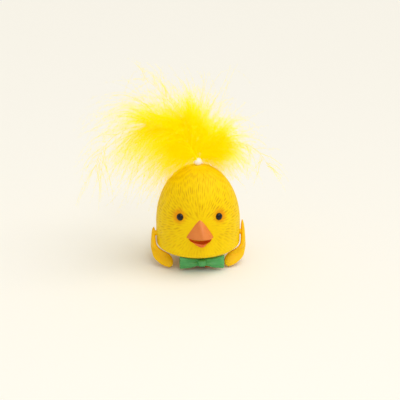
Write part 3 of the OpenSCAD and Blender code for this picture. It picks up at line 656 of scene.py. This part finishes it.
softened("webbedFeet", "foot_plate", footPlastic, "feet", 0.3)
softened("windingKey", "winding_key", keyPlastic, "winder", 0.35)
print("moulded parts made")

# plug, quills and feathers
plug = {"radius": 1.75, "belowTop": 1.65, "stem": 1.0, "stemLength": 3.0}
quill = {"root": 0.26, "end": 0.03, "rings": 60, "sides": 14}
# lengths are in mm and headings in degrees; reach is how long the barbs are, and fan is where those by the
# plug point to
# the glow entry sets the strength of the painted glow on the down and the quills
feathers = {"paintedGlow": 0.16, "seed": 7, "steps": 10, "barbules": 42, "barbWidth": 0.14, "barbuleWidth": 0.055,
    "barbuleLength": 2.3, "roomLow": (-55.5, -32, 20), "roomHigh": (41.5, 36, 95),
    "left": {"start": (-0.4, 0.0), "heading": 105, "bend": 1, "radius": 23, "length": 64, "offset": -1.0,
        "reach": (13, 35), "barbs": 1800, "core": 0.44, "lean": (0.6, 2.2), "droop": (0.6, 2.1),
        "sweep": (-0.3, 0, 0), "sides": 0.5, "fan": (125, 250)},
    "top": {"start": (0.0, 0.3), "heading": 100, "bend": 1, "radius": 60, "length": 46, "offset": 0.0,
        "reach": (10, 22), "barbs": 1700, "core": 0.36, "lean": (0.3, 1.6), "droop": (0.0, 0.5),
        "sweep": (-0.75, 0, 0), "sides": 0.4, "fan": (5, 150)},
    "right": {"start": (0.4, 0.0), "heading": 60, "bend": -1, "radius": 17, "length": 40, "offset": 1.0,
        "reach": (8, 22), "barbs": 900, "core": 0.22, "lean": (0.2, 1.4), "droop": (0.3, 1.3),
        "sweep": (0.1, 0, 0), "sides": 0.5, "fan": (-72, 90)}}
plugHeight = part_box("crest_plug")[1].z / mm - plug["belowTop"]


def featherPlace(feather, along):
    # point on a quill, the way it points there and the way across it
    start = Vector((feather["start"][0], 0, plugHeight + feather["start"][1]))
    bend = feather["bend"]
    turn = math.radians(feather["heading"])
    inward = turn + bend * math.pi / 2
    middle = start + feather["radius"] * Vector((math.cos(inward), 0, math.sin(inward)))
    now = turn + bend * along / feather["radius"]
    out = now - bend * math.pi / 2
    point = middle + feather["radius"] * Vector((math.cos(out), 0, math.sin(out)))
    point.y = feather["offset"]
    return point, Vector((math.cos(now), 0, math.sin(now))), Vector((math.cos(out), 0, math.sin(out)))


def whitePlug():
    bm = bmesh.new()
    bmesh.ops.create_uvsphere(bm, u_segments=36, v_segments=22, radius=plug["radius"] * mm)
    stem = bmesh.ops.create_cone(bm, cap_ends=True, segments=28, radius1=plug["stem"] * mm,
        radius2=plug["stem"] * mm, depth=plug["stemLength"] * mm)
    drop = plug["radius"] * 0.7 + plug["stemLength"] / 2
    bmesh.ops.translate(bm, verts=stem["verts"], vec=(0, 0, -drop * mm))
    bmesh.ops.translate(bm, verts=bm.verts[:], vec=(0, 0, plugHeight * mm))
    return bm


def taperedQuill(feather):
    bm = bmesh.new()
    rings = []
    for t in np.linspace(0, 1, quill["rings"]):
        centre, ahead, across = featherPlace(feather, feather["length"] * t)
        r = quill["root"] * (1 - t) ** 1.6 + quill["end"]
        rings.append([(centre + (across * math.cos(a) + Vector((0, 1, 0)) * math.sin(a)) * r) * mm
            for a in np.linspace(0, 2 * math.pi, quill["sides"], endpoint=False)])
    return loft(bm, rings)


down = dyedDown()
addPiece("whitePlugBead", whitePlug(), plugPlastic, "root", ["crest_plug"])
for part in ("left", "top", "right"):
    addPiece(part + "QuillPiece", taperedQuill(feathers[part]), down, "root", [part + "_quill"])


def featherDown(name, feather, seed):
    # barbs along the quill, each a bent tapered strip with fine barbules on it
    rng = np.random.default_rng(seed)
    count, steps, fine = feather["barbs"], feathers["steps"], feathers["barbules"]
    # most of the barbs grow on the part of the quill near the plug, the rest thinly over its whole length
    u = np.where(rng.random(count) < 0.94, feather["core"] * rng.beta(1.0, 1.15, count), rng.random(count))
    along = 3.0 + u * (feather["length"] - 3.0)
    along = np.where(rng.random(count) < 0.4, rng.uniform(0.8, 14, count), along)
    base, ahead, side = (np.array([featherPlace(feather, a)[k] for a in along]) for k in range(3))
    sign = np.where(rng.random(count) < feather["sides"], -1.0, 1.0)
    low, high = feather["reach"]
    length = low + (high - low) * rng.random(count) ** 1.3
    length *= 0.7 + 0.4 * np.sin(np.pi * np.minimum(1, 0.2 + 0.8 * u))
    # a few barbs are much longer and thinly covered
    length = np.where(rng.random(count) < 0.09, length * rng.uniform(1.3, 1.9, count), length)
    lean = rng.uniform(*feather["lean"], count)
    fluff = rng.normal(0.1, 0.5, count)
    fluff = np.where(along < 9, np.abs(fluff) * 1.2 + 0.1, fluff)
    way = ahead * lean[:, None] + side * sign[:, None] + np.array([0, 1, 0]) * fluff[:, None]
    way += rng.normal(0, 0.3, (count, 3))
    # near the plug a share of the barbs stands out like a fan
    fan = (along < 14) & (rng.random(count) < 0.85)
    spread = np.radians(rng.uniform(*feather["fan"], count))
    outward = np.stack([np.cos(spread), np.abs(rng.normal(0.15, 0.4, count)), np.sin(spread)], 1)
    way = np.where(fan[:, None], outward, way)
    way /= np.linalg.norm(way, axis=1)[:, None]
    sideways = np.cross(way, rng.normal(0, 1, (count, 3)))
    sideways /= np.linalg.norm(sideways, axis=1)[:, None]
    # a barb bends down and to one side along its length
    droop = rng.uniform(*feather["droop"], count)
    bend = sideways * rng.normal(0, 0.28, (count, 1))
    bend = bend + np.array(feather["sweep"]) * rng.uniform(0.3, 1.2, (count, 1))
    bend[:, 2] -= droop
    t = np.linspace(0, 1, steps + 1)
    turning = way[:, None, :] + bend[:, None, :] * (t[None, :, None] ** 1.4) * 1.6
    turning /= np.linalg.norm(turning, axis=2)[:, :, None]
    points = base[:, None, :] + np.concatenate([np.zeros((count, 1, 3)),
        np.cumsum(turning[:, :-1] * (length / steps)[:, None, None], axis=1)], axis=1)
    sway = rng.normal(0, 0.3, (count, 1, 3))
    wave = sway * np.sin(t * 2 * np.pi * rng.uniform(0.6, 1.6, (count, 1)))[:, :, None]
    points = points + wave * t[None, :, None]
    # barbs that reach too far are left out
    least, most = points.min(1), points.max(1)
    keep = (least > np.array(feathers["roomLow"])).all(1) & (most < np.array(feathers["roomHigh"])).all(1)
    points, sideways, u, count = points[keep], sideways[keep], u[keep], int(keep.sum())
    width = feathers["barbWidth"] * (1 - 0.85 * t)
    stripA = points + sideways[:, None, :] * width[None, :, None] / 2
    stripB = points - sideways[:, None, :] * width[None, :, None] / 2
    strip = np.stack([stripA, stripB], 2).reshape(-1, 3)
    firstOf = np.arange(count)[:, None] * (steps + 1) * 2 + np.arange(steps)[None, :] * 2
    a = firstOf.reshape(-1)
    quads = np.stack([a, a + 1, a + 3, a + 2], 1)
    stripTip = np.repeat((t * 0.8)[None, :], count, 0) * (0.6 + 0.4 * u[:, None])
    stripTip = np.repeat(stripTip.reshape(-1), 2)
    # barbules: one thin triangle each
    place = rng.uniform(0.06, 1.0, (count, fine))
    exact = place * steps
    k = np.minimum(exact.astype(int), steps - 1)
    part = (exact - k)[:, :, None]
    row = np.arange(count)[:, None]
    root = points[row, k] * (1 - part) + points[row, k + 1] * part
    tangent = points[row, k + 1] - points[row, k]
    tangent /= np.linalg.norm(tangent, axis=2)[:, :, None]
    spread = rng.normal(0, 1, (count, fine, 3))
    reach = rng.uniform(0.5, 1.0, (count, fine, 1)) * feathers["barbuleLength"]
    reach = reach * (1.1 - 0.5 * place[:, :, None])
    heading = spread / np.linalg.norm(spread, axis=2)[:, :, None] + tangent * 0.7
    heading /= np.linalg.norm(heading, axis=2)[:, :, None]
    tipPoint = root + heading * reach
    tipPoint[:, :, 2] -= 0.12 * reach[:, :, 0]
    thin = np.cross(heading, rng.normal(0, 1, (count, fine, 3)))
    thin = thin / np.linalg.norm(thin, axis=2)[:, :, None] * feathers["barbuleWidth"] / 2
    hairs = np.stack([root - thin, root + thin, tipPoint], 2).reshape(-1, 3)
    hairFaces = len(strip) + np.arange(count * fine)[:, None] * 3 + np.arange(3)[None, :]
    rootTip = place * 0.8 * (0.6 + 0.4 * u[:, None])
    hairTip = np.stack([rootTip, rootTip, np.minimum(1, rootTip + 0.25)], 2).reshape(-1)
    vertices = np.concatenate([strip, hairs]) * mm
    mesh = bpy.data.meshes.new(name)
    loops = np.concatenate([quads.reshape(-1), hairFaces.reshape(-1)])
    totals = np.concatenate([np.full(len(quads), 4), np.full(len(hairFaces), 3)])
    mesh.vertices.add(len(vertices))
    mesh.vertices.foreach_set("co", vertices.reshape(-1))
    mesh.loops.add(len(loops))
    mesh.loops.foreach_set("vertex_index", loops)
    mesh.polygons.add(len(totals))
    mesh.polygons.foreach_set("loop_start", np.concatenate([[0], np.cumsum(totals)[:-1]]))
    mesh.update(calc_edges=True)
    mesh.validate()
    tip = mesh.attributes.new("tip", "FLOAT", "POINT")
    tip.data.foreach_set("value", np.concatenate([stripTip, hairTip]))
    return mesh


for number, part in enumerate(("left", "top", "right")):
    mesh = featherDown(part + "Down", feathers[part], feathers["seed"] + number)
    addMesh(part + "Down", mesh, down, "root", [part + "_plume"], 0)
print("feathers made")

# floor, light and camera
bm = bmesh.new()
bmesh.ops.create_grid(bm, x_segments=2, y_segments=2, size=12)
mesh = bpy.data.meshes.new("floor")
bm.to_mesh(mesh)
bm.free()
floor = bpy.data.objects.new("floor", mesh)
bpy.context.scene.collection.objects.link(floor)
paper, tree, shader = newMaterial("creamPaper", {"Roughness": 0.9, "Specular IOR Level": 0.1})
shader.inputs["Base Color"].default_value = linearColour("f4f2ec")
mesh.materials.append(paper)

world = bpy.data.worlds.new("studio")
bpy.context.scene.world = world
world.use_nodes = True
world.node_tree.nodes["Background"].inputs["Color"].default_value = linearColour("fffdf8")
world.node_tree.nodes["Background"].inputs["Strength"].default_value = 0.64


# a wide soft light from the upper right, as through a large diffuser far away
lamp = bpy.data.lights.new("keyLight", "SUN")
lamp.energy = 1.4
lamp.angle = math.radians(55)
lamp.color = linearColour("fffcf4")[:3]
key = bpy.data.objects.new("keyLight", lamp)
key.rotation_euler = Vector((-0.5, 0.15, -1.0)).to_track_quat("-Z", "Y").to_euler()
bpy.context.scene.collection.objects.link(key)

# a small lamp that puts the bright point on the eyes
lamp = bpy.data.lights.new("sparkle", "AREA")
lamp.shape = "DISK"
lamp.size = 0.1
lamp.energy = 0.3
sparkle = bpy.data.objects.new("sparkle", lamp)
sparkle.location = (0.06, -0.4, 0.42)
sparkle.rotation_euler = Vector((-0.06, 0.4, -0.39)).to_track_quat("-Z", "Y").to_euler()
bpy.context.scene.collection.objects.link(sparkle)

# degrees, metres and millimetres of lens
view = {"azimuth": -2.5, "elevation": 20, "distance": 0.425, "lens": 85, "aim": (0.0009, 0, 0.0292)}
camera = bpy.data.cameras.new("camera")
camera.lens = view["lens"]
camera.sensor_width = 36
camera.clip_start = 0.01
eye = bpy.data.objects.new("camera", camera)
a, e = math.radians(view["azimuth"]), math.radians(view["elevation"])
away = Vector((math.sin(a) * math.cos(e), -math.cos(a) * math.cos(e), math.sin(e)))
eye.location = Vector(view["aim"]) + away * view["distance"]
eye.rotation_euler = (-away).to_track_quat("-Z", "Y").to_euler()
bpy.context.scene.collection.objects.link(eye)
bpy.context.scene.camera = eye
bpy.context.scene.view_settings.view_transform = "Standard"
print("stage made")
